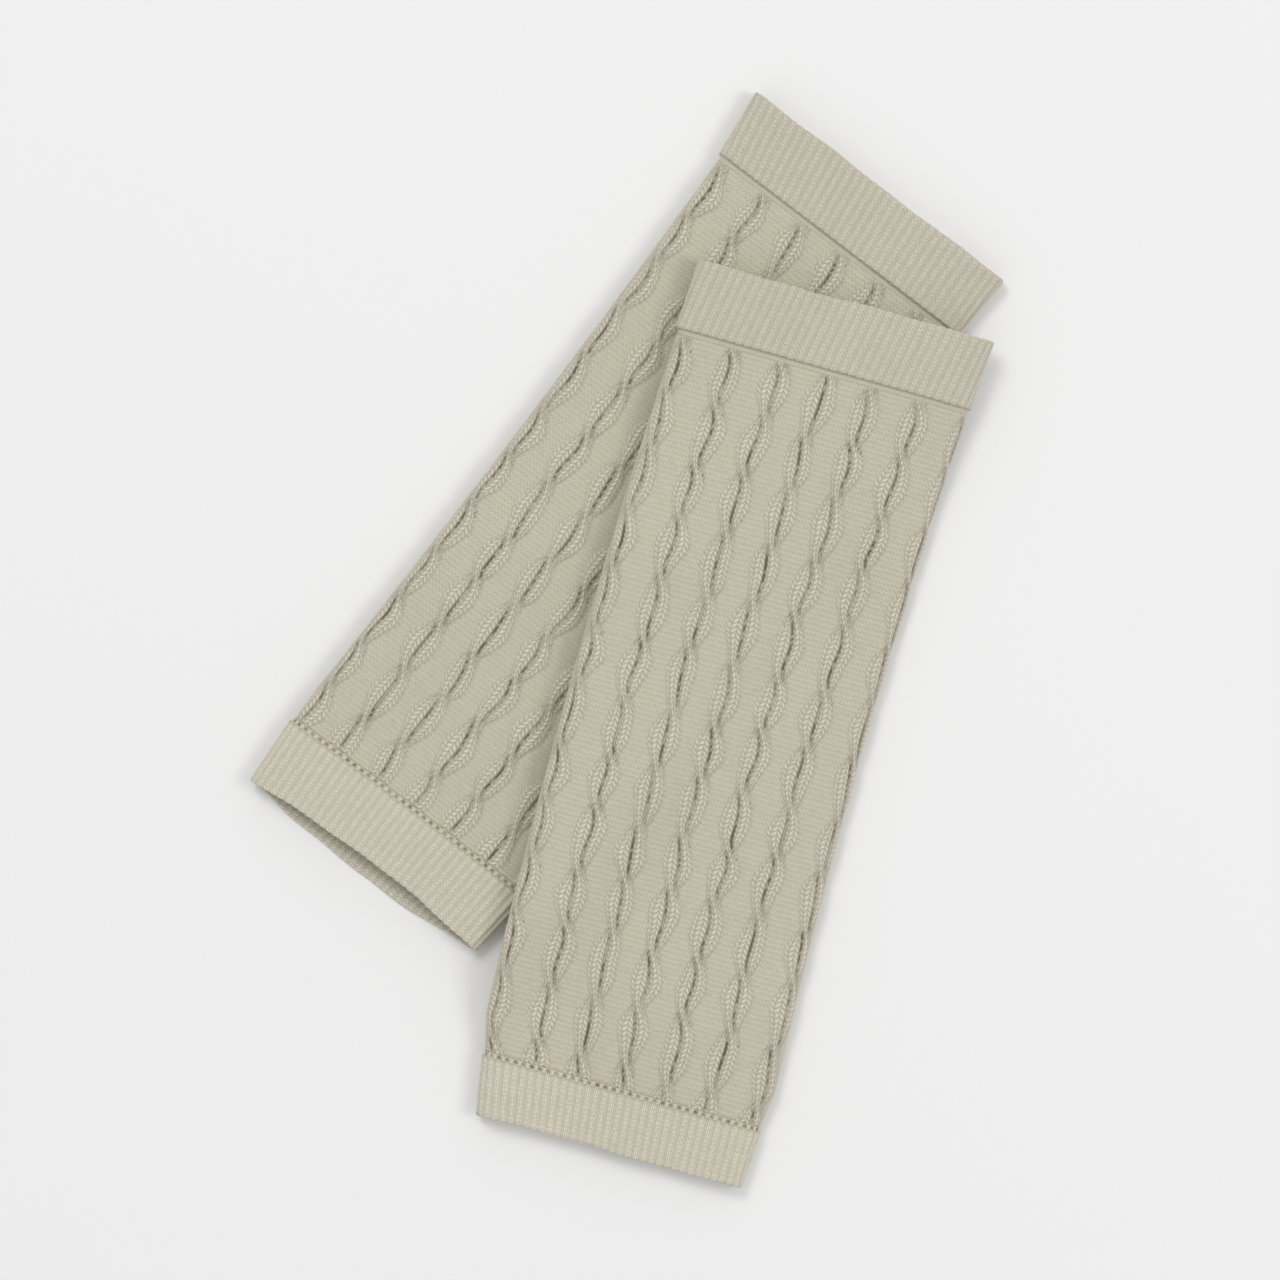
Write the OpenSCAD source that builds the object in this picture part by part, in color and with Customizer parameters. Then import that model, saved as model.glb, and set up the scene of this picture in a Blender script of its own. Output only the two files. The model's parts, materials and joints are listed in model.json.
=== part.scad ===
// Pair of knitted tube arm warmers, fingerless and without a thumb hole, laid across each other on a table.
// Each glove is a flattened tube: a cable-knit sleeve, linked at both ends to a turned rib cuff, with
// elastic yarns laid between the two plies of the cuff. The front glove lies on the back glove.
// Frame: +Y runs along the front glove, from its narrow hem to its wide hem, and +Z is up. The origin is on
// the table, under the middle of the pair's bounding box.
// Each glove has its own flat coordinates: u across it, v along it from the narrow hem, and a depth, which
// is how far a surface lies under the glove's outer skin.

/* [Front glove] */
// Length from hem to hem
front_length = 300.6; // [260:0.2:340]
// Height of the turned cuff at the wide end
front_wide_cuff = 24.5; // [18:0.5:32]
// Height of the turned cuff at the narrow end
front_narrow_cuff = 20; // [15:0.5:30]
// Flat width of the sleeve
front_sleeve_width = 104.4; // [90:0.2:120]
// Flat width at the wide hem
front_wide_width = 104.8; // [90:0.2:120]
// Flat width at the narrow hem
front_narrow_width = 94.4; // [80:0.2:110]
// How far the two ends lie to the right of the middle
front_bow = 4.6; // [-8:0.2:8]

/* [Back glove] */
// Length from hem to hem
back_length = 291.4; // [260:0.2:340]
// Height of the turned cuff at the wide end
back_wide_cuff = 24.5; // [18:0.5:32]
// Height of the turned cuff at the narrow end
back_narrow_cuff = 24.5; // [15:0.5:30]
// Flat width of the sleeve
back_sleeve_width = 102.6; // [90:0.2:120]
// Flat width at the wide hem
back_wide_width = 107; // [90:0.2:120]
// Flat width at the narrow hem
back_narrow_width = 97; // [80:0.2:110]
// How far the two ends lie to the right of the middle
back_bow = -2.4; // [-8:0.2:8]
// How far the narrow mouth's under layer sticks out, and its top layer draws back
mouth_shift = 2.9; // [0:0.1:4]
// How far the top layer stands up at the middle of the narrow mouth
mouth_lift = 2.4; // [0:0.1:4]

/* [Lay of the pair] */
// Angle between the two gloves
crossing_angle = 21.7; // [18:0.1:25]
// Middle of the front glove's narrow hem, from the origin
front_foot = [45.2, -180.7]; // [-200:0.1:200]
// Middle of the back glove's narrow hem, from the origin
back_foot = [-55.0, -110.5]; // [-200:0.1:200]
// Room left between the back glove and the front glove that lies on it
rest_gap = 0.5; // [0.4:0.1:1.5]
// How far from the back glove's edge the front glove comes down to the table
drape_run = 34; // [28:1:45]

/* [Fabric] */
// Thickness of a glove lying flat, both layers and the air between them
flat_thickness = 8.8; // [8.6:0.1:12]
// Thickness of one knitted wall, cables included
wall = 2; // [1.6:0.1:2.2]
// Thickness of one ply of a turned cuff
cuff_ply = 0.7; // [0.6:0.05:0.8]
// Height of the row of stitches that links a cuff to the sleeve
seam_height = 1.6; // [1:0.1:2.4]
// Thickness of one elastic yarn
elastic_yarn = 0.4; // [0.3:0.05:0.4]
// Number of elastic yarns in each cuff
elastic_count = 4; // [1:1:5]
// Extra flat width of the narrow cuff where it meets the sleeve
narrow_flare = 4.4; // [0:0.2:6]

/* [Hidden] */

knit_color = [0.74, 0.71, 0.64];
rib_color = [0.76, 0.73, 0.67];
seam_color = [0.66, 0.63, 0.56];
elastic_color = [0.90, 0.88, 0.82];

half_thickness = flat_thickness / 2;
rise = flat_thickness + rest_gap;
fold_steps = 6;
face_steps = 14;
stations = 2 * (fold_steps + face_steps);
row_pitch = 12;
shoulder = 14;
hem_round = 0.5;
mouth_reach = 46;

// A glove is [foot, angle, length, wide cuff, narrow cuff, sleeve width, wide hem width, narrow hem width,
// bow, mouth shift, mouth lift, carried], where carried says that it lies on the other glove.
front = [front_foot, 0, front_length, front_wide_cuff, front_narrow_cuff, front_sleeve_width,
         front_wide_width, front_narrow_width, front_bow, 0, 0, true];
back = [back_foot, crossing_angle, back_length, back_wide_cuff, back_narrow_cuff, back_sleeve_width,
        back_wide_width, back_narrow_width, back_bow, mouth_shift, mouth_lift, false];

function foot_of(g) = g[0];
function angle_of(g) = g[1];
function length_of(g) = g[2];
function wide_cuff_of(g) = g[3];
function narrow_cuff_of(g) = g[4];

// Smooth step from 0 to 1 as x goes from a to b
function ease(a, b, x) = let (t = min(1, max(0, (x - a) / (b - a)))) (1 - cos(180 * t)) / 2;

// Half of the flat width at v
function half_width(g, v) =
    lookup(v, [[0, g[7] / 2],
               [narrow_cuff_of(g), (g[7] + narrow_flare) / 2],
               [narrow_cuff_of(g) + shoulder, g[5] / 2],
               [length_of(g) - wide_cuff_of(g), g[5] / 2],
               [length_of(g), g[6] / 2]]);

// How far the glove's middle line lies to the right at v
function bow_at(g, v) = g[8] * pow(2 * v / length_of(g) - 1, 2);

// A place on the glove put on the table, and the way back
function on_table(g, u, v) =
    foot_of(g) + [u * cos(angle_of(g)) + v * sin(angle_of(g)), -u * sin(angle_of(g)) + v * cos(angle_of(g))];
function across(g, p) = (p - foot_of(g)) * [cos(angle_of(g)), -sin(angle_of(g))];
function along(g, p) = (p - foot_of(g)) * [sin(angle_of(g)), cos(angle_of(g))];

// Height at which the front glove lies over the table place p: up on the back glove, down beside it
function drape(p) =
    let (u = across(back, p), v = along(back, p), edge = half_width(back, v) + bow_at(back, v) - 1)
    rise * (1 - ease(edge, edge + drape_run, u)) * ease(-drape_run, 1, v);

// Station i of the flattened tube's section at v, at a depth under its skin: [u, z]. The stations run over
// the right fold, the upper face, the left fold and the lower face.
function section(g, v, depth, i) =
    let (r = half_thickness - depth, flat = half_width(g, v) - half_thickness)
    i < fold_steps ? let (a = 180 * i / fold_steps - 90)
        [flat + r * cos(a), half_thickness + r * sin(a)] :
    i < fold_steps + face_steps ? let (t = (i - fold_steps) / face_steps)
        [flat * (1 - 2 * t), half_thickness + r] :
    i < 2 * fold_steps + face_steps ? let (a = 180 * (i - fold_steps - face_steps) / fold_steps + 90)
        [-flat + r * cos(a), half_thickness + r * sin(a)] :
    let (t = (i - 2 * fold_steps - face_steps) / face_steps) [flat * (2 * t - 1), half_thickness - r];

// The same station in the pair's own frame, with the slack mouth and the drape
function skin_point(g, v, depth, i) =
    let (s = section(g, v, depth, i),
         middle = max(0, 1 - pow(s[0] / half_width(g, v), 2)),
         near_mouth = pow(max(0, 1 - v / mouth_reach), 2),
         upper = ease(wall, flat_thickness - wall, s[1]),
         p = on_table(g, s[0] + bow_at(g, v), v + g[9] * (2 * upper - 1) * middle * near_mouth),
         lift = g[10] * upper * middle * middle * near_mouth)
    [p[0], p[1], s[1] + lift + (g[11] ? drape(p) : 0)];

// Places from a to b, no further apart than row_pitch
function rows(a, b) = let (n = ceil(abs(b - a) / row_pitch)) [for (k = [0:n]) a + (b - a) * k / n];

// A closed ring of fabric round the glove: profile is the loop of [v, depth] that is carried round it
module ring(g, profile) {
    n = len(profile);
    points = [for (q = profile) for (i = [0:stations - 1]) skin_point(g, q[0], q[1], i)];
    faces = [for (k = [0:n - 1]) for (i = [0:stations - 1])
        let (a = k * stations + i, b = k * stations + (i + 1) % stations,
             c = (k + 1) % n * stations + (i + 1) % stations, d = (k + 1) % n * stations + i)
        each [[a, b, c], [a, c, d]]];
    polyhedron(points = points, faces = faces);
}

// A single knitted wall from v = a to v = b
module knitted_wall(g, a, b) {
    ring(g, concat([for (v = rows(a, b)) [v, 0]], [for (v = rows(b, a)) [v, wall]]));
}

// A cuff turned at its hem: two plies, joined at the hem, open towards the sleeve
module turned_cuff(g, hem, join) {
    s = sign(join - hem);
    fold = hem + s * cuff_ply;
    outside = [for (v = rows(join, hem + s * hem_round)) [v, 0]];
    turn = [[hem, hem_round], [hem, wall - hem_round]];
    lining = [for (v = rows(hem + s * hem_round, join)) [v, wall]];
    pocket_in = [for (v = rows(join, fold)) [v, wall - cuff_ply]];
    pocket_out = [for (v = rows(fold, join)) [v, cuff_ply]];
    loop = concat(outside, turn, lining, pocket_in, pocket_out);
    ring(g, s < 0 ? loop : [for (k = [len(loop) - 1:-1:0]) loop[k]]);
}

// Elastic yarns between the two plies of a cuff that runs from v = a to v = b
module elastic_yarns(g, a, b) {
    h = elastic_yarn / 2;
    for (k = [1:elastic_count])
        let (v = a + (b - a) * k / (elastic_count + 1), d = wall / 2)
        ring(g, [[v - h, d - h], [v + h, d - h], [v + h, d + h], [v - h, d + h]]);
}

function narrow_join(g) = narrow_cuff_of(g);
function wide_join(g) = length_of(g) - wide_cuff_of(g);

module sleeve(g) { knitted_wall(g, narrow_join(g) + seam_height, wide_join(g) - seam_height); }
module wide_seam(g) { knitted_wall(g, wide_join(g) - seam_height, wide_join(g)); }
module narrow_seam(g) { knitted_wall(g, narrow_join(g), narrow_join(g) + seam_height); }
module wide_cuff(g) { turned_cuff(g, length_of(g), wide_join(g)); }
module narrow_cuff(g) { turned_cuff(g, 0, narrow_join(g)); }
module wide_elastic(g) { elastic_yarns(g, wide_join(g), length_of(g)); }
module narrow_elastic(g) { elastic_yarns(g, narrow_join(g), 0); }

module front_sleeve() { color(knit_color) sleeve(front); }
module front_wide_cuff() { color(rib_color) wide_cuff(front); }
module front_narrow_cuff() { color(rib_color) narrow_cuff(front); }
module front_wide_seam() { color(seam_color) wide_seam(front); }
module front_narrow_seam() { color(seam_color) narrow_seam(front); }
module front_wide_elastic() { color(elastic_color) wide_elastic(front); }
module front_narrow_elastic() { color(elastic_color) narrow_elastic(front); }
module back_sleeve() { color(knit_color) sleeve(back); }
module back_wide_cuff() { color(rib_color) wide_cuff(back); }
module back_narrow_cuff() { color(rib_color) narrow_cuff(back); }
module back_wide_seam() { color(seam_color) wide_seam(back); }
module back_narrow_seam() { color(seam_color) narrow_seam(back); }
module back_wide_elastic() { color(elastic_color) wide_elastic(back); }
module back_narrow_elastic() { color(elastic_color) narrow_elastic(back); }

front_sleeve();
front_wide_cuff();
front_narrow_cuff();
front_wide_seam();
front_narrow_seam();
front_wide_elastic();
front_narrow_elastic();
back_sleeve();
back_wide_cuff();
back_narrow_cuff();
back_wide_seam();
back_narrow_seam();
back_wide_elastic();
back_narrow_elastic();
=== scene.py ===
import json
import math

import bpy
import numpy as np
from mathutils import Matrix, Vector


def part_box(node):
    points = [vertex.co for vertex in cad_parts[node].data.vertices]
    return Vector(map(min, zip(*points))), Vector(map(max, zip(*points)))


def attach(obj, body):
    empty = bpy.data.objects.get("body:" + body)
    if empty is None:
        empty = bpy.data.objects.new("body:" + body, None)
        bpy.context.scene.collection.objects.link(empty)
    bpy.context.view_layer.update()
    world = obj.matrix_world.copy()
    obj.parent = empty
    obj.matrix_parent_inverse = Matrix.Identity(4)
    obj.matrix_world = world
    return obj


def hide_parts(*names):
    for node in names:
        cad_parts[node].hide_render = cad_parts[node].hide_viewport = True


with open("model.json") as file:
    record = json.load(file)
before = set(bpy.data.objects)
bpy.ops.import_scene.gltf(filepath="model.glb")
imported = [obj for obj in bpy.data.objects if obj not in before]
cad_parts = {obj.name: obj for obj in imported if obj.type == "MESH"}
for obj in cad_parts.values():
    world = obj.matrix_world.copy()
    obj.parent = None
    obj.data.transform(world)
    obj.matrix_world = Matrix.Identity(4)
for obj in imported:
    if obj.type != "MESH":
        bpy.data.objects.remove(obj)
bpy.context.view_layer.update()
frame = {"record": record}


# ---- The lay of the pair ----------------------------------------------------------------------------------
# Two knitted tubes lie flat on a table. The back glove lies on the table, and the front glove lies across it:
# it is carried on the back glove where they cross, and comes down to the table beside it. All the lengths
# here and below are in millimetres; woven_ring() turns them into metres.
record_mounts = {m["name"]: m for m in frame["record"]["mounts"]}


def node_box(node):
    """Lowest and highest corner of a CAD node, in millimetres."""
    return [np.array(corner) * 1000 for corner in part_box(node)]


thickness = node_box("back_wide_cuff")[1][2]
half_thickness = thickness / 2
rise = node_box("front_wide_cuff")[1][2] - thickness
wall = 2.0
seam_height = 1.6
drape_run = 34.0
drape_tuck = 1.0
mouth_reach = 46.0
flare_length = 14.0
puff_height = 0.45
puff_across = 24.0
puff_along = 34.0


def lay(name, **sizes):
    """A glove's sizes, with its two mouths and its direction from the record's mounts."""
    foot = np.array(record_mounts[name + "_narrow_mouth"]["pos_m"][:2]) * 1000
    head = np.array(record_mounts[name + "_wide_mouth"]["pos_m"][:2]) * 1000
    length = float(np.linalg.norm(head - foot))
    return dict(sizes, name=name, foot=foot, length=length, along=(head - foot) / length)


front = lay(
    "front", wide_cuff=24.5, narrow_cuff=20.0, sleeve_width=104.4, wide_width=104.8, narrow_width=94.4,
    narrow_flare=4.4, bow=4.6, mouth_shift=0.0, mouth_lift=0.0, carried=True, seed=1.3)
back = lay(
    "back", wide_cuff=24.5, narrow_cuff=24.5, sleeve_width=102.6, wide_width=107.0, narrow_width=97.0,
    narrow_flare=4.4, bow=-2.4, mouth_shift=2.9, mouth_lift=2.4, carried=False, seed=4.1)


def ease(start, end, x):
    """Half a cosine wave from 0 at start to 1 at end."""
    t = np.clip((x - start) / (end - start), 0, 1)
    return (1 - np.cos(np.pi * t)) / 2


def waver(a, b, seed):
    """Slow unevenness between -1 and 1: the mean of three sine waves in a and b."""
    return (np.sin(1.9 * a + 2.3 * b + seed) + np.sin(3.7 * a - 1.3 * b + 2 * seed)
            + np.sin(-0.8 * a + 4.1 * b + 3 * seed)) / 3


def half_width(glove, v):
    """Half of the flat width at v, by straight lines between the hems, the cuffs and the sleeve."""
    join = glove["narrow_cuff"]
    places = [0, join, join + flare_length, glove["length"] - glove["wide_cuff"], glove["length"]]
    widths = [glove["narrow_width"], glove["narrow_width"] + glove["narrow_flare"],
              glove["sleeve_width"], glove["sleeve_width"], glove["wide_width"]]
    return np.interp(v, places, widths) / 2


def bow(glove, v):
    """How far the middle line lies to the right of a straight line through the two mouths."""
    return glove["bow"] * ((2 * v / glove["length"] - 1) ** 2 - 1)


def drape(x, y):
    """Height at which the front glove lies: the full rise over the back glove, eased to 0 beside it."""
    side, end = back["along"][1], back["along"][0]
    dx, dy = x - back["foot"][0], y - back["foot"][1]
    u, v = dx * side - dy * end, dx * end + dy * side
    edge = half_width(back, v) + bow(back, v) - drape_tuck
    return rise * (1 - ease(edge, edge + drape_run, u)) * ease(-drape_run, drape_tuck, v)


def on_glove(glove, girth, v, depth):
    """Places on a glove, as x, y and z. girth goes round it: 0 is the left fold, 0.5 the right fold, the
    upper face lies between them and the lower face after them. The section is two flat faces joined by half
    circles, drawn in by depth. The slack mouth draws the upper layer back and up, the lower one out."""
    flat = half_width(glove, v) - half_thickness
    quarter = math.pi / 2 * half_thickness
    upper = np.where(girth <= 0.5, 1.0, -1.0)
    walked = np.where(girth <= 0.5, girth, 1 - girth) * 4 * (flat + quarter)
    left = np.clip(walked, 0, quarter) / half_thickness
    right = np.clip(walked - quarter - 2 * flat, 0, quarter) / half_thickness
    r = half_thickness - depth
    u = -flat - r * np.cos(left) + np.clip(walked - quarter, 0, 2 * flat) + r * np.sin(right)
    z = half_thickness + upper * r * np.sin(left) * np.cos(right)
    middle = np.clip(1 - (u / half_width(glove, v)) ** 2, 0, 1)
    near_mouth = np.clip(1 - v / mouth_reach, 0, 1) ** 2
    layer = ease(wall, thickness - wall, z)
    v = v + glove["mouth_shift"] * (2 * layer - 1) * middle * near_mouth
    z = z + glove["mouth_lift"] * layer * middle ** 2 * near_mouth
    z = z + layer * middle * puff_height * waver(u / puff_across, v / puff_along, glove["seed"])
    u = u + bow(glove, v)
    side, end = glove["along"][1], glove["along"][0]
    x = glove["foot"][0] + u * side + v * end
    y = glove["foot"][1] - u * end + v * side
    return np.stack([x, y, z + (drape(x, y) if glove["carried"] else 0)], axis=-1)


# ---- Yarn finishes ----------------------------------------------------------------------------------------
# One matt, slightly hairy cotton-blend yarn in oatmeal makes every knitted piece. Its look is three effects:
# the stitches that the needles leave, the stray fibres, and the faint unevenness of the dye. Shade and
# highlight are also painted into its colour: into the creases, between and on the stitches, and on the knit
# side.
yarn_roughness = 0.92
yarn_shine = 0.18
fuzz_weight = 0.5
fuzz_roughness = 0.45
fuzz_tint = (1.0, 0.97, 0.9, 1.0)
wander = {"Wales": 0.16, "Courses": 0.75}
hair_relief = 0.22
relief_strength = 0.75
# Painted light in the colour: stitch crests are painted lighter, the gaps between stitches darker, and the
# knit side lighter than the purl side.
crest_highlight = 0.42
gap_shade = 0.82
knit_side_highlight = 0.13


def shader_group(name, inputs, outputs):
    """An empty node group with named number inputs, given with their defaults, and named outputs."""
    group = bpy.data.node_groups.new(name, "ShaderNodeTree")
    for label, kind, value in inputs:
        socket = group.interface.new_socket(label, in_out="INPUT", socket_type=kind)
        if value is not None:
            socket.default_value = value
    for label, kind in outputs:
        group.interface.new_socket(label, in_out="OUTPUT", socket_type=kind)
    return group, group.nodes.new("NodeGroupInput"), group.nodes.new("NodeGroupOutput")


def feed(tree, socket, value):
    """Links value to a socket if it is another socket, and sets it there if it is a number."""
    if isinstance(value, bpy.types.NodeSocket):
        tree.links.new(value, socket)
    else:
        socket.default_value = value


def sums(tree, operation, *values):
    """One Math node's result."""
    node = tree.nodes.new("ShaderNodeMath")
    node.operation = operation
    for socket, value in zip(node.inputs, values):
        feed(tree, socket, value)
    return node.outputs[0]


def hump(tree, phase):
    """A parabola over each whole step of phase: 0 at whole numbers and 1 half way between."""
    part = sums(tree, "FRACT", phase)
    return sums(tree, "MULTIPLY", sums(tree, "MULTIPLY", part, sums(tree, "SUBTRACT", 1.0, part)), 4.0)


def stitch_group():
    """Height of single stitches. Wales counts the stitch columns and Courses the rows. The knit face is a
    column of V shapes, two plump legs that meet at the bottom; the purl face is wavy rows of small loops."""
    leg_climb, leg_squareness, leg_gap = 1.5, 0.45, 0.25
    loop_wave, loop_squareness, loop_rise, loop_level = 0.24, 0.7, 0.20, 0.32
    names = ("Wales", "Courses", "Purl")
    group, given, result = shader_group(
        "Knit stitches", [(name, "NodeSocketFloat", 0.0) for name in names], [("Height", "NodeSocketFloat")])
    wales, courses, purl = (given.outputs[name] for name in names)
    from_middle = sums(group, "ABSOLUTE", sums(group, "SUBTRACT", sums(group, "FRACT", wales), 0.5))
    leg = hump(group, sums(group, "MULTIPLY", from_middle, 2.0))
    slant = sums(group, "SUBTRACT", courses, sums(group, "MULTIPLY", from_middle, leg_climb))
    plump = sums(group, "MULTIPLY_ADD", hump(group, slant), 1 - leg_gap, leg_gap)
    knit = sums(group, "MULTIPLY", sums(group, "POWER", leg, leg_squareness), plump)
    turned = sums(group, "COSINE", sums(group, "MULTIPLY", wales, 2 * math.pi))
    wave = sums(group, "MULTIPLY", turned, loop_wave)
    loops = sums(group, "POWER", hump(group, sums(group, "ADD", courses, wave)), loop_squareness)
    loops = sums(group, "MULTIPLY_ADD", loops, loop_rise, loop_level)
    mix = group.nodes.new("ShaderNodeMix")
    feed(group, mix.inputs["Factor"], purl)
    feed(group, mix.inputs["A"], knit)
    feed(group, mix.inputs["B"], loops)
    group.links.new(mix.outputs["Result"], result.inputs["Height"])
    return group


def fibre_group():
    """Stray fibres, thick and thin places in the yarn, and uneven dye: three noises, from fine to coarse.
    Place is in metres. Height is for the bump, and Shade is a factor near 1 for the colour."""
    group, given, result = shader_group(
        "Yarn fibres", [("Place", "NodeSocketVector", None)],
        [("Height", "NodeSocketFloat"), ("Shade", "NodeSocketFloat")])

    def noise(scale, detail, rough):
        node = group.nodes.new("ShaderNodeTexNoise")
        node.inputs["Scale"].default_value = scale
        node.inputs["Detail"].default_value = detail
        node.inputs["Roughness"].default_value = rough
        group.links.new(given.outputs["Place"], node.inputs["Vector"])
        return node.outputs["Fac"]

    hairs, slubs, dye = noise(2600, 3, 0.6), noise(420, 2, 0.5), noise(24, 2, 0.5)
    slub_relief = 0.6
    group.links.new(sums(group, "MULTIPLY_ADD", slubs, slub_relief, hairs), result.inputs["Height"])
    shade = 1.0
    for source, swing in ((hairs, 0.16), (slubs, 0.14), (dye, 0.10)):
        shade = sums(group, "MULTIPLY", shade, sums(group, "MULTIPLY_ADD", source, swing, 1 - swing / 2))
    group.links.new(shade, result.inputs["Shade"])
    return group


knit_stitches = stitch_group()
yarn_fibres = fibre_group()


def yarn_finish(name, colour, crease_shade_colour, stitch_depth, purl):
    """A knitted finish. The piece's UV map counts wales and courses, and its marks say how much painted shade
    falls on each place and where the purl side shows, unless purl is given as a number. The crease mark mixes
    the colour towards the darker crease colour, as painted shade in the creases. The colour is also painted
    darker between the stitches and lighter on their crests, and lighter on the knit side than on the purl
    side, as painted shade and highlight. stitch_depth is in millimetres."""
    material = bpy.data.materials.new(name)
    material.use_nodes = True
    tree = material.node_tree
    cloth = tree.nodes["Principled BSDF"]
    cloth.inputs["Roughness"].default_value = yarn_roughness
    cloth.inputs["Specular IOR Level"].default_value = yarn_shine
    cloth.inputs["Sheen Weight"].default_value = fuzz_weight
    cloth.inputs["Sheen Roughness"].default_value = fuzz_roughness
    cloth.inputs["Sheen Tint"].default_value = fuzz_tint

    counts = tree.nodes.new("ShaderNodeUVMap")
    counts.uv_map = "knit"
    split = tree.nodes.new("ShaderNodeSeparateXYZ")
    tree.links.new(counts.outputs["UV"], split.inputs[0])
    place = tree.nodes.new("ShaderNodeTexCoord")
    stitches = tree.nodes.new("ShaderNodeGroup")
    stitches.node_tree = knit_stitches
    fibres = tree.nodes.new("ShaderNodeGroup")
    fibres.node_tree = yarn_fibres
    tree.links.new(place.outputs["Object"], fibres.inputs["Place"])
    for axis, count in (("X", "Wales"), ("Y", "Courses")):
        uneven = sums(tree, "MULTIPLY_ADD", fibres.outputs["Height"], wander[count], split.outputs[axis])
        tree.links.new(uneven, stitches.inputs[count])

    def mark(label):
        node = tree.nodes.new("ShaderNodeAttribute")
        node.attribute_name = label
        return node.outputs["Fac"]

    purl_side = mark("purl") if purl is None else purl
    feed(tree, stitches.inputs["Purl"], purl_side)
    height = sums(tree, "MULTIPLY_ADD", fibres.outputs["Height"], hair_relief, stitches.outputs["Height"])
    bump = tree.nodes.new("ShaderNodeBump")
    bump.inputs["Strength"].default_value = relief_strength
    bump.inputs["Distance"].default_value = stitch_depth / 1000
    tree.links.new(height, bump.inputs["Height"])
    tree.links.new(bump.outputs["Normal"], cloth.inputs["Normal"])

    # Painted highlight and shade: lighter on the stitches' crests, darker in the gaps between them.
    stitch_light_and_shade = sums(tree, "MULTIPLY_ADD", stitches.outputs["Height"], crest_highlight, gap_shade)
    # Painted highlight on the knit side; the purl side is left darker.
    knit_light_factor = sums(tree, "MULTIPLY_ADD", purl_side, -knit_side_highlight, 1 + knit_side_highlight)
    shade = sums(tree, "MULTIPLY", sums(tree, "MULTIPLY", fibres.outputs["Shade"], stitch_light_and_shade), knit_light_factor)
    # Painted shade: the crease mark mixes the colour towards the dark crease colour in the slits, grooves,
    # rib valleys, eyelets and inside.
    tone = tree.nodes.new("ShaderNodeMix")
    tone.data_type = "RGBA"
    feed(tree, tone.inputs["Factor"], mark("crease_shade"))
    tone.inputs["A"].default_value = colour
    tone.inputs["B"].default_value = crease_shade_colour
    tinted = tree.nodes.new("ShaderNodeVectorMath")
    tinted.operation = "SCALE"
    tree.links.new(tone.outputs["Result"], tinted.inputs[0])
    tree.links.new(shade, tinted.inputs["Scale"])
    tree.links.new(tinted.outputs[0], cloth.inputs["Base Color"])
    return material


def woven_ring(name, points, counts, marks, finish):
    """A mesh of square cells from rings of places. The last three axes of points are rows, stations and x, y
    and z; each row is a closed loop round the glove, and the last row is joined to the first, which gives the
    ring its wall. counts gives the UV of the four corners of every cell, and marks a number for every place.
    The cells are turned over if the rings' volume comes out negative."""
    rows, stations = points.shape[-3:-1]
    places = points.reshape(-1, 3) / 1000
    rings = len(places) // (rows * stations)
    ring, k, i = np.meshgrid(np.arange(rings), np.arange(rows), np.arange(stations), indexing="ij")
    after, beside = (k + 1) % rows, (i + 1) % stations
    cells = np.stack([k * stations + i, k * stations + beside, after * stations + beside,
                      after * stations + i], axis=-1) + (ring * rows * stations)[..., None]
    cells = cells.reshape(-1, 4)
    a, b, c, d = (places[cells[:, n]] for n in range(4))
    volume = np.einsum("ij,ij->", a, np.cross(b, c)) + np.einsum("ij,ij->", a, np.cross(c, d))
    corners = counts.reshape(-1, 4, 2)
    if volume < 0:
        cells, corners = cells[:, ::-1], corners[:, ::-1]
    mesh = bpy.data.meshes.new(name)
    mesh.vertices.add(len(places))
    mesh.vertices.foreach_set("co", places.astype(np.float32).ravel())
    mesh.loops.add(cells.size)
    mesh.loops.foreach_set("vertex_index", cells.astype(np.int32).ravel())
    mesh.polygons.add(len(cells))
    mesh.polygons.foreach_set("loop_start", np.arange(0, cells.size, 4, dtype=np.int32))
    mesh.polygons.foreach_set("use_smooth", np.ones(len(cells), dtype=bool))
    layer = mesh.uv_layers.new(name="knit")
    layer.data.foreach_set("uv", corners.astype(np.float32).ravel())
    for label, values in marks.items():
        attribute = mesh.attributes.new(label, "FLOAT", "POINT")
        attribute.data.foreach_set("value", values.astype(np.float32).ravel())
    mesh.update(calc_edges=True)
    mesh.validate()
    mesh.materials.append(finish)
    piece = bpy.data.objects.new(name, mesh)
    bpy.context.collection.objects.link(piece)
    return piece


def corner_values(values, once_round=0.0):
    """The value at the four corners of every cell, from the value at every place. The last row is followed by
    the first, and so is the last station, where the value has grown by once_round."""
    beside = np.roll(values, -1, axis=-1)
    beside[..., -1] += once_round
    return np.stack([values, beside, np.roll(beside, -1, axis=-2), np.roll(values, -1, axis=-2)], axis=-1)


# ---- Sleeves ----------------------------------------------------------------------------------------------
# Each sleeve is one tube of single jersey with its purl side out, 144 stitches round, with twelve columns of
# two-strand cable. The needles cross the strands every 20 mm, always left over right, so each column is a
# chain of paired leaf-shaped lobes with a sunk slit between them, darkened with painted shade.
cable_columns = 12
fine_columns = 7
crossing_pitch = 20.4
ground_depth = 1.25
cable_height = 0.75
slit_depth = 0.45
inner_slope = 0.8
outer_slope = 3.6
neck_half = 2.3
lobe_half = 5.3
slit_leaves = (0.80, 1.24)
strand_width = 3.0
least_width = 0.3
strand_wales = 1.5
ridge_height = 0.17
crosses_over = (0.8, 1.2)
crossing_rise = 0.20
crossing_reach = 0.16
neck_reach = 0.2
groove_half = 0.5
groove_depth = 0.10
ground_swell = 0.14
swell_run = 3
slit_shadow = 0.95
slit_shadow_gain = 2.6
slit_shadow_half = 0.52
neck_shadow = 0.12
flank_shadow = 0.04
groove_shadow = 0.03
inside_shadow = 0.15
out_of_sight = 99.0
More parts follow.
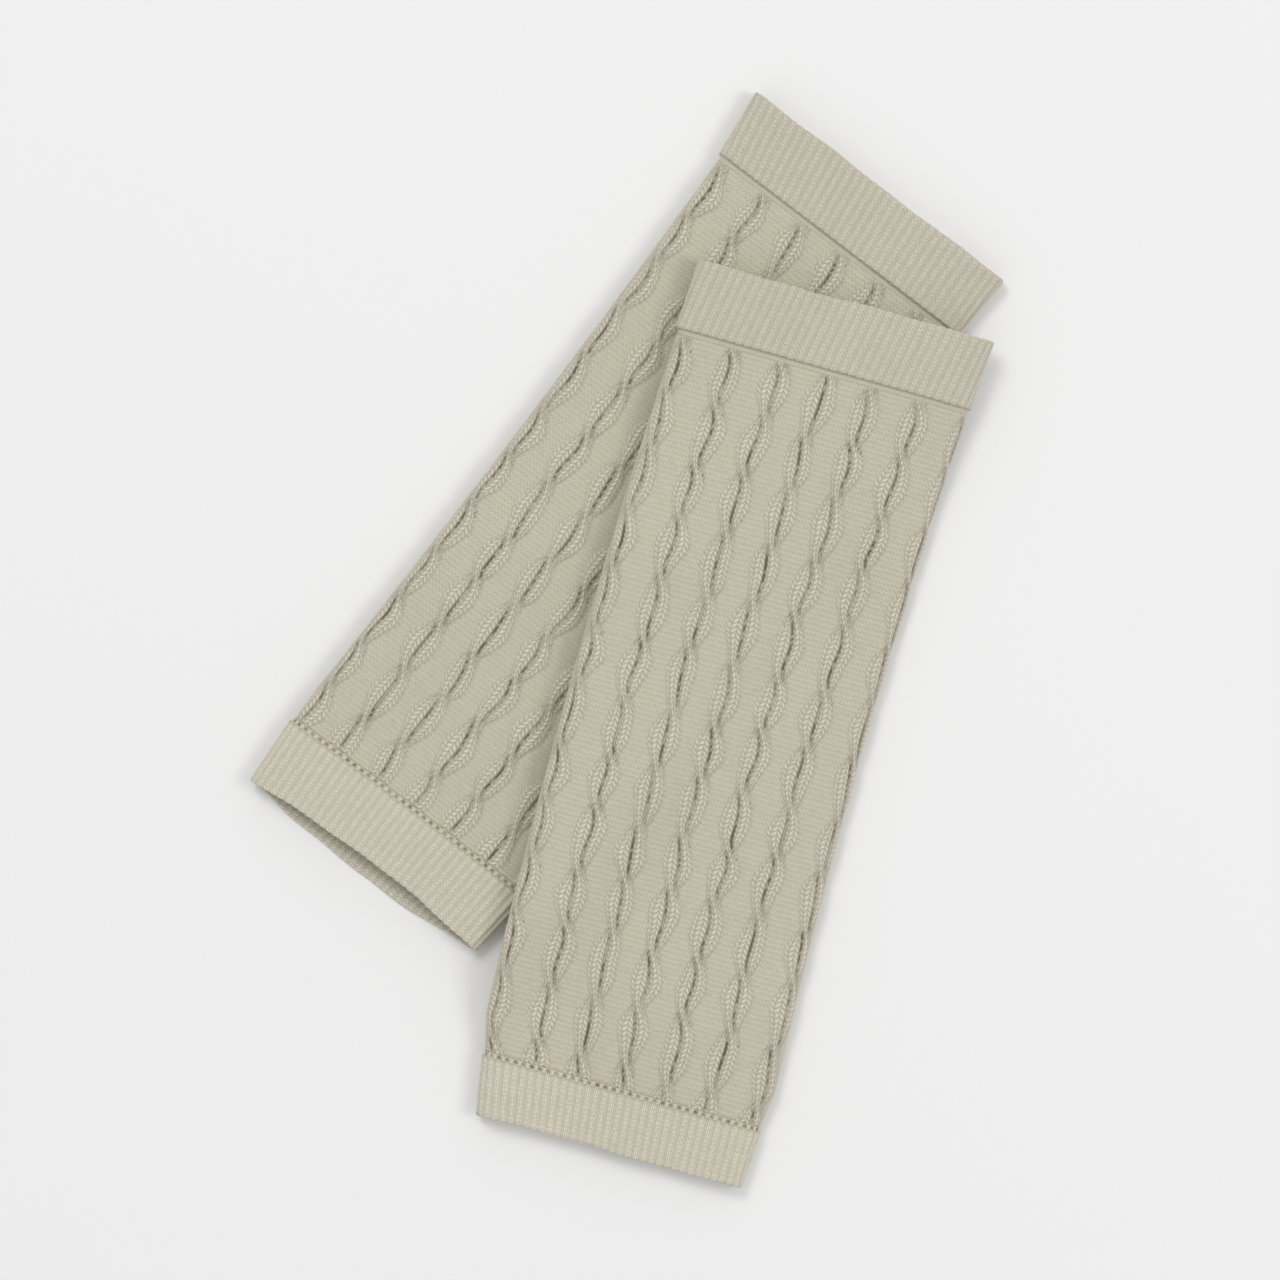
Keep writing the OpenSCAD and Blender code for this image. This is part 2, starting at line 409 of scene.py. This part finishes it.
widest_cell = 4.5
wales_round = 144
course_pitch = 1.8
cable_stitch_depth = 0.95
oatmeal = (0.585, 0.543, 0.433, 1.0)
oatmeal_shadow = (0.15, 0.128, 0.085, 1.0)

sleeve_lay = {
    "front": dict(first_column=(-0.32, -0.39), upper_columns=(6.73, 6.5)),
    "back": dict(first_column=(-0.32, -0.39), upper_columns=(6.6, 6.4)),
}


def half_span(turn, fullness):
    """Half of a column's width: narrow where the strands cross, at each whole turn, and wide between."""
    return neck_half + (lobe_half * fullness - neck_half) * np.abs(np.sin(np.pi * turn)) ** 1.1


def slit_path(turn, index):
    """Where the slit that starts at crossing index lies, as a share of the half span. It starts at the left
    side of the neck, swings in to the middle, and leaves to the right after the next crossing."""
    swing_length, bulge = 0.10, 0.06
    t = turn - index
    swing_in = np.exp(-np.clip(t, 0, None) / swing_length)
    path = bulge * np.sin(np.pi * np.clip(t, 0, 1)) - swing_in + ease(*slit_leaves, t)
    return np.where(t < 0, -out_of_sight, np.where(t > slit_leaves[1], out_of_sight, path))


def strand_edges(turn, index, fullness):
    """Left and right edge of the strand that starts at crossing index: under the slit of its own index on the
    right, and past the slit of the next one on the left."""
    span = half_span(turn, fullness)
    left = span * np.maximum(-1, slit_path(turn, index + 1))
    right = span * np.minimum(1, slit_path(turn, index))
    return left, right


def cable_relief(across, turn, fullness, tallness):
    """Height over the ground, painted shade and strand of each place. A strand rises steeply out of the slit,
    and slopes gently to the ground on its other side; where it crosses over, both sides are steep and it is
    highest. One and a half wales run along it, as low ridges. The highest strand is the one seen. The ground
    swells a little between the columns and has a shallow groove beside them. The shade is painted darkest in
    the slits, and more lightly along the strands' outer edges, at the necks and in the grooves. Strand is -1
    on the ground."""
    span = half_span(turn, fullness)
    beyond = np.abs(across) - span
    at_neck = np.exp(-((turn - np.round(turn)) / neck_reach) ** 2)
    groove = np.exp(-(beyond / groove_half) ** 2)
    height = ground_swell * ease(0, swell_run, beyond) - groove_depth * groove
    # Painted shade in the groove beside a column, darker at the necks.
    crease_shade = (groove_shadow + neck_shadow * at_neck) * groove
    strand = np.full(across.shape, -1.0)
    for back_by in (0, 1, 2):
        index = np.floor(turn) - back_by
        left, right = strand_edges(turn, index, fullness)
        width = right - left
        part = (across - left) / np.maximum(width, 1e-3)
        inside = (width > least_width) & (part > 0) & (part < 1)
        part = np.clip(part, 0, 1)
        passed = ease(*crosses_over, turn - index)
        from_left = np.clip(part * width / (outer_slope + (inner_slope - outer_slope) * passed), 0, 1)
        from_right = np.clip((1 - part) * width / (inner_slope + (outer_slope - inner_slope) * passed), 0, 1)
        body = np.sqrt(1 - (1 - from_left) ** 2) * np.sqrt(1 - (1 - from_right) ** 2)
        full = np.clip(width / strand_width, 0, 1)
        over = np.exp(-((turn - index - 1) / crossing_reach) ** 2)
        top = cable_height * tallness * full ** 0.8 * (1 + crossing_rise * over)
        ridge = ridge_height * (np.cos(2 * np.pi * strand_wales * (part - 0.5)) - 1) * full
        inmost = span - 0.05
        at_slit = np.where(part < 0.5, left > -inmost, right < inmost)
        floor_level = np.where(at_slit, -slit_depth, 0.0)
        raised = floor_level + (top - floor_level) * body + ridge * body
        edge = np.minimum(part, 1 - part) * width
        seen = inside & (raised > height)
        height = np.where(seen, raised, height)
        # Painted shade along each strand's edge: darkest in the slit, lighter on its outer flank, more at the
        # necks.
        in_slit = slit_shadow + slit_shadow_gain * (tallness - 1)
        dark = np.where(at_slit, in_slit, flank_shadow + neck_shadow * at_neck)
        crease_shade = np.where(seen, dark * np.exp(-(edge / slit_shadow_half) ** 2), crease_shade)
        strand = np.where(seen, index, strand)
    return height, crease_shade, strand


def sleeve(glove):
    """A closed tube wall. The outer face has the cable relief, on stations that crowd onto the cables of the
    upper face, and its painted crease shade. The inner face is plain, lies one wall under the skin and is
    painted evenly with a little shade."""
    start = glove["narrow_cuff"] + seam_height
    end = glove["length"] - glove["wide_cuff"] - seam_height
    flank = 0.36
    fine = np.concatenate([
        np.linspace(-0.5, -flank, 4, endpoint=False),
        np.linspace(-flank, flank, 31, endpoint=False),
        np.linspace(flank, 0.5, 3, endpoint=False)])
    coarse = np.linspace(-0.5, 0.5, 20, endpoint=False)
    columns = np.concatenate([n + (fine if n < fine_columns else coarse) for n in range(cable_columns)])
    outer_rows, inner_rows = 246, 24
    along = np.concatenate([np.linspace(start, end, outer_rows), np.linspace(end, start, inner_rows)])
    v, column = np.meshgrid(along, columns, indexing="ij")
    outer = np.arange(len(along))[:, None] < outer_rows

    # From the column count to the way round, found in small steps: the upper face holds a little more than
    # half of the columns.
    place = sleeve_lay[glove["name"]]
    share = (v - start) / (end - start)
    first = place["first_column"][0] + share * (place["first_column"][1] - place["first_column"][0])
    extra = place["upper_columns"][0] + share * (place["upper_columns"][1] - place["upper_columns"][0]) - 6
    girth = (column - first) / cable_columns
    solving_steps = 12
    for _ in range(solving_steps):
        girth = (column - first - extra * (1 - np.cos(2 * np.pi * girth)) / 2) / cable_columns
    spread = cable_columns + extra * np.pi * np.sin(2 * np.pi * girth)
    girth_length = 4 * (half_width(glove, v) - half_thickness) + 2 * np.pi * half_thickness
    number = np.round(column)

    def uneven(amount, per_column, over, shift):
        return amount * waver(number * per_column, v / over, glove["seed"] + shift)

    first_turn = 40
    across = (column - number) * girth_length / spread
    across = across + uneven(amount=0.9, per_column=2.1, over=13, shift=0)
    turn = (end - v) / crossing_pitch + uneven(amount=0.14, per_column=1.7, over=31, shift=1) + first_turn
    fullness = 1 + uneven(amount=0.15, per_column=1.3, over=9, shift=2)
    tallness = 1 + uneven(amount=0.14, per_column=2.9, over=13, shift=3)

    height, crease_shade, strand = cable_relief(across, turn, fullness, tallness)
    narrow_fade, wide_fade = 2.2, 1.6
    ends = ease(start, start + narrow_fade, v) * ease(end, end - wide_fade, v)
    depth = np.where(outer, ground_depth - height * ends, wall)
    points = on_glove(glove, girth % 1.0, v, depth)

    # Stitch counts: wales follow the strands, and run straight on the ground. A cell between two columns is
    # always ground.
    corner_across, corner_turn = corner_values(across), corner_values(turn)
    between_columns = np.ptp(corner_across, axis=-1) > widest_cell
    middle = np.where(between_columns, out_of_sight, corner_across.mean(axis=-1))
    chosen = cable_relief(middle, corner_turn.mean(axis=-1), fullness, tallness)[2][..., None]
    left, right = strand_edges(corner_turn, chosen, corner_values(fullness))
    part = (corner_across - left) / np.maximum(right - left, least_width)
    ground_wales = corner_values(column, cable_columns) * wales_round / cable_columns
    wales = np.where(chosen >= 0, strand_wales * part, ground_wales)
    counts = np.stack([wales, corner_values(v) / course_pitch], axis=-1)
    # The purl mark sets the stitch pattern and also fades the knit side's painted highlight towards a
    # strand's edges.
    turned_away = 0.35 * np.clip(np.abs(across) / half_span(turn, fullness), 0, 1) ** 2
    # Painted shade: the cable's creases on the outer face, faded at the ends, and an even shade inside the
    # tube.
    marks = {"crease_shade": np.where(outer, crease_shade * ends, inside_shadow),
             "purl": np.where(strand < 0, 1.0, turned_away)}
    return woven_ring(glove["name"] + "_cable_sleeve", points, counts, marks, cable_knit)


cable_knit = yarn_finish("cable_knit", oatmeal, oatmeal_shadow, cable_stitch_depth, None)
for glove in (back, front):
    tube = sleeve(glove)
    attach(tube, glove["name"] + "_glove")
    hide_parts(glove["name"] + "_sleeve")


# ---- Cuffs ------------------------------------------------------------------------------------------------
# Both ends are bands of one-by-one rib, 72 ribs round. Each is knitted twice as long as it shows, folded in
# at the hem and linked to the sleeve with both plies, which leaves a pocket between them. The ribs lean a
# little, because the glove was laid down with a twist.
ribs_round = 72
rib_stations = 10
rib_depth = 0.42
rib_unevenness = 0.05
hem_radius = 1.0
hem_slack = 0.5
ply = 0.7
flattened_by_seam = 0.5
flattened_by_hem = 0.6
valley_shadow = 0.22
edge_shadow = 0.24
edge_shadow_reach = 0.5
purl_shows = (0.55, 0.85)
rib_course = 1.5
rib_stitch_depth = 0.70
rib_colour = {"wide": (0.640, 0.597, 0.484, 1.0), "narrow": (0.705, 0.657, 0.534, 1.0)}
rib_lean = {"front_wide": 6.5, "front_narrow": -2.5, "back_wide": -5.0, "back_narrow": -1.0}


def cuff_profile(height):
    """The cuff cut along its length, as arrays: distance from the seam, depth, and the direction into the
    fabric. It runs down the outside, half round the hem, back up the lining, and through the pocket."""
    hem_wall = 1.2
    turn_at = height - hem_radius
    angle = np.linspace(0, math.pi, 9)
    pocket = height - hem_wall
    runs = [(np.linspace(0, turn_at, 24, endpoint=False), 0.0, 0.0, 1.0),
            (turn_at + hem_radius * np.sin(angle), hem_radius * (1 - np.cos(angle)), -np.sin(angle),
             np.cos(angle)),
            (np.linspace(turn_at, 0, 13)[1:], wall, 0.0, -1.0),
            (np.linspace(0, pocket, 7), wall - ply, 0.0, 0.0),
            (np.linspace(pocket, 0, 7), ply, 0.0, 0.0)]
    columns = [np.concatenate([np.broadcast_to(run[n], run[0].shape) for run in runs]) for n in range(4)]
    return np.stack(columns)


def cuff(glove, end):
    """A closed double band. The valleys between the ribs are sunk along the direction into the fabric, by a
    raised cosine of the way round, and the pocket's walls stay plain. Painted shade darkens the valleys and
    the edge at the seam, and the valleys' purl mark leaves the ribs painted lighter."""
    height = glove[end + "_cuff"]
    away, depth, into_away, into_depth = cuff_profile(height)
    stations = np.arange(ribs_round * rib_stations) / (ribs_round * rib_stations)
    away, girth = np.meshgrid(away, stations, indexing="ij")
    depth, into_away, into_depth = depth[:, None], into_away[:, None], into_depth[:, None]
    phase = ribs_round * girth
    valley = ((1 - np.cos(2 * np.pi * phase)) / 2) ** 1.2
    near_seam, near_hem = np.exp(-away / 1.2), np.exp(-((height - away) / 1.8) ** 2)
    soft = 1 - flattened_by_seam * near_seam - flattened_by_hem * near_hem
    uneven = rib_unevenness * (1 + waver(girth * 150, away / 4, glove["seed"]))
    sunk = rib_depth * valley * soft + uneven
    lean = math.tan(math.radians(rib_lean[glove["name"] + "_" + end]))
    slack = hem_slack * (away / height) ** 2 * waver(girth * 14, 0, glove["seed"] + 5)
    reach = away + into_away * sunk + slack
    v = glove["length"] - height + reach if end == "wide" else height - reach
    towards = v - (glove["length"] - height if end == "wide" else height)
    girth_length = 4 * half_width(glove, v)
    points = on_glove(glove, (girth + lean * towards / girth_length) % 1.0, v, depth + into_depth * sunk)
    wales = corner_values(2 * phase + 0.5, 2 * ribs_round)
    counts = np.stack([wales, corner_values(v) / rib_course], axis=-1)
    # Painted shade in the rib valleys and along the edge at the seam.
    crease_shade = valley_shadow * valley ** 2 + edge_shadow * np.exp(-(away / edge_shadow_reach) ** 2)
    marks = {"crease_shade": crease_shade, "purl": ease(*purl_shows, valley)}
    return woven_ring(glove["name"] + "_" + end + "_rib_cuff", points, counts, marks, rib_knit[end])


rib_knit = {
    "wide": yarn_finish("wide_rib_knit", rib_colour["wide"], oatmeal_shadow, rib_stitch_depth, None),
    "narrow": yarn_finish("narrow_rib_knit", rib_colour["narrow"], oatmeal_shadow, rib_stitch_depth, None),
}
for glove in (back, front):
    for end in ("wide", "narrow"):
        band = cuff(glove, end)
        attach(band, glove["name"] + "_glove")
        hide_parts(glove["name"] + "_" + end + "_cuff")


# ---- Linking seams ----------------------------------------------------------------------------------------
# Where a cuff meets the sleeve, one row of stitches links both plies to the tube. At the wide end it is a
# close chain in a shallow step. At the narrow end it is a row of transferred stitches, which leaves an eyelet
# beside every rib.
chain_slant = 0.7
chain_height = 0.12
step_height = 0.75
step_shadow = 0.22
eyelet_half = 0.75
eyelet_half_height = 0.62
eyelet_depth = 0.75
eyelet_shadow = 0.90
seam_stitch_depth = 0.2
seam_colour = (0.59, 0.548, 0.436, 1.0)


def seam(glove, end):
    """A closed ring as high as the seam. The chain is a row of low slanted lumps, a cosine of the way round
    less the way up; an eyelet is a rounded pit, flat-bottomed, one to a rib. Painted shade darkens the top of
    the step, the eyelets and the inner face."""
    stations = np.arange(ribs_round * rib_stations) / (ribs_round * rib_stations)
    outer_rows = 9
    rise_up = np.concatenate([np.linspace(0, 1, outer_rows), [1, 0]])
    up, girth = np.meshgrid(rise_up, stations, indexing="ij")
    inner = np.arange(len(rise_up))[:, None] >= outer_rows
    phase = ribs_round * girth
    if end == "wide":
        v = glove["length"] - glove["wide_cuff"] - seam_height * (1 - up)
        lumps = (1 + np.cos(2 * np.pi * (2 * phase - chain_slant * up))) / 2
        depth = ground_depth - step_height * up ** 3 - chain_height * lumps * np.sin(np.pi * up)
        # Painted shade, deepest at the top of the step.
        crease_shade = 0.02 + step_shadow * up ** 4
        purl = 1.0
    else:
        v = glove["narrow_cuff"] + seam_height * up
        rib_pitch = 2.7
        aside = np.abs((phase + 0.5) % 1.0 - 0.5) * rib_pitch
        above = (up - 0.5) * seam_height
        pit = np.exp(-(aside / eyelet_half) ** 4 - (above / eyelet_half_height) ** 4)
        pit = pit * (0.72 + 0.28 * waver(girth * 61, 0, glove["seed"] + 7))
        depth = 0.45 + 0.40 * up + eyelet_depth * pit
        # Painted shade in the eyelets.
        crease_shade = 0.06 + eyelet_shadow * pit
        purl = 0.0
    points = on_glove(glove, girth % 1.0, v, np.where(inner, wall, depth))
    counts = np.stack([corner_values(2 * phase, 2 * ribs_round), corner_values(v) / rib_course], axis=-1)
    # Painted shade on the inner face.
    marks = {"crease_shade": np.where(inner, 0.1, crease_shade), "purl": purl + 0 * phase}
    return woven_ring(glove["name"] + "_" + end + "_linking", points, counts, marks, linking_yarn)


linking_yarn = yarn_finish("linking_yarn", seam_colour, oatmeal_shadow, seam_stitch_depth, None)
for glove in (back, front):
    for end in ("wide", "narrow"):
        row = seam(glove, end)
        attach(row, glove["name"] + "_glove")
        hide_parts(glove["name"] + "_" + end + "_seam")


# ---- Elastic yarns ----------------------------------------------------------------------------------------
# Covered elastane lies in the pocket of every cuff and makes it grip: four rings of a white core yarn with a
# fine thread wrapped round it. They are inside the cuffs, and show only when a cuff is cut open.
elastic_count = 4
elastic_radius = 0.19
wraps_round = 260
thread_depth = 0.05
elastic_white = (0.72, 0.70, 0.62, 1.0)
elastic_shadow = (0.4, 0.38, 0.32, 1.0)


def elastic(glove, end):
    """Closed rings of a round yarn at half the wall's depth, evenly spaced up the pocket."""
    height = glove[end + "_cuff"]
    steps = height * np.arange(1, elastic_count + 1) / (elastic_count + 1)
    middle = glove["length"] - height + steps if end == "wide" else height - steps
    sides, stations = 8, 200
    angle = np.arange(sides) * 2 * math.pi / sides
    girth = np.arange(stations) / stations
    middle, angle, girth = np.meshgrid(middle, angle, girth, indexing="ij")
    points = on_glove(glove, girth, middle + elastic_radius * np.cos(angle),
                      wall / 2 + elastic_radius * np.sin(angle))
    wrap = corner_values(girth, 1.0) * wraps_round + corner_values(angle) / (2 * math.pi)
    counts = np.stack([wrap, corner_values(angle) / (2 * math.pi)], axis=-1)
    marks = {"crease_shade": 0 * angle, "purl": 0 * angle}
    return woven_ring(glove["name"] + "_" + end + "_elastic_yarns", points, counts, marks, elastic_yarn)


elastic_yarn = yarn_finish("elastic_yarn", elastic_white, elastic_shadow, thread_depth, 0.0)
for glove in (back, front):
    for end in ("wide", "narrow"):
        yarns = elastic(glove, end)
        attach(yarns, glove["name"] + "_glove")
        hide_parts(glove["name"] + "_" + end + "_elastic")


# ---- Stage, light and camera ------------------------------------------------------------------------------
# A pale matt table, lit by two large soft lamps, one from each side, and by the pale room. A long lens looks
# straight down.
table_half = 3.0
table_grey = (0.90, 0.90, 0.90, 1)
room_brightness = 0.58
lamp_size = 1.3
camera_height = 2.2
focus_height = 0.012
view_width = 0.4352
view_centre = (0.0132, -0.0100)
camera_turn = math.radians(15.6)

floor_mesh = bpy.data.meshes.new("table")
floor_corners = [(x * table_half, y * table_half, 0) for x, y in ((-1, -1), (1, -1), (1, 1), (-1, 1))]
floor_mesh.from_pydata(floor_corners, [], [(0, 1, 2, 3)])
floor = bpy.data.objects.new("table", floor_mesh)
bpy.context.collection.objects.link(floor)
table_paint = bpy.data.materials.new("table_paint")
table_paint.use_nodes = True
paint = table_paint.node_tree.nodes["Principled BSDF"]
paint.inputs["Base Color"].default_value = table_grey
paint.inputs["Roughness"].default_value = 0.9
floor_mesh.materials.append(table_paint)

bpy.context.scene.view_settings.view_transform = "Standard"
world = bpy.data.worlds.new("studio")
bpy.context.scene.world = world
world.use_nodes = True
room = world.node_tree.nodes["Background"]
room.inputs["Color"].default_value = (1, 1, 1, 1)
room.inputs["Strength"].default_value = room_brightness


def soft_lamp(name, place, power):
    """A square lamp at place, in metres, turned towards the middle of the table. power is in watts."""
    lamp = bpy.data.lights.new(name, "AREA")
    lamp.size = lamp_size
    lamp.energy = power
    holder = bpy.data.objects.new(name, lamp)
    holder.location = place
    holder.rotation_euler = (-holder.location).to_track_quat("-Z", "Y").to_euler()
    bpy.context.collection.objects.link(holder)


soft_lamp("left_lamp", (-1.5, 1.5, 3.1), 38)
soft_lamp("right_lamp", (2.2, 0.3, 2.6), 26)

camera = bpy.data.cameras.new("camera")
camera.lens = camera.sensor_width * (camera_height - focus_height) / view_width
camera_object = bpy.data.objects.new("camera", camera)
camera_object.location = (view_centre[0], view_centre[1], camera_height)
camera_object.rotation_euler = (0, 0, camera_turn)
bpy.context.collection.objects.link(camera_object)
bpy.context.scene.camera = camera_object
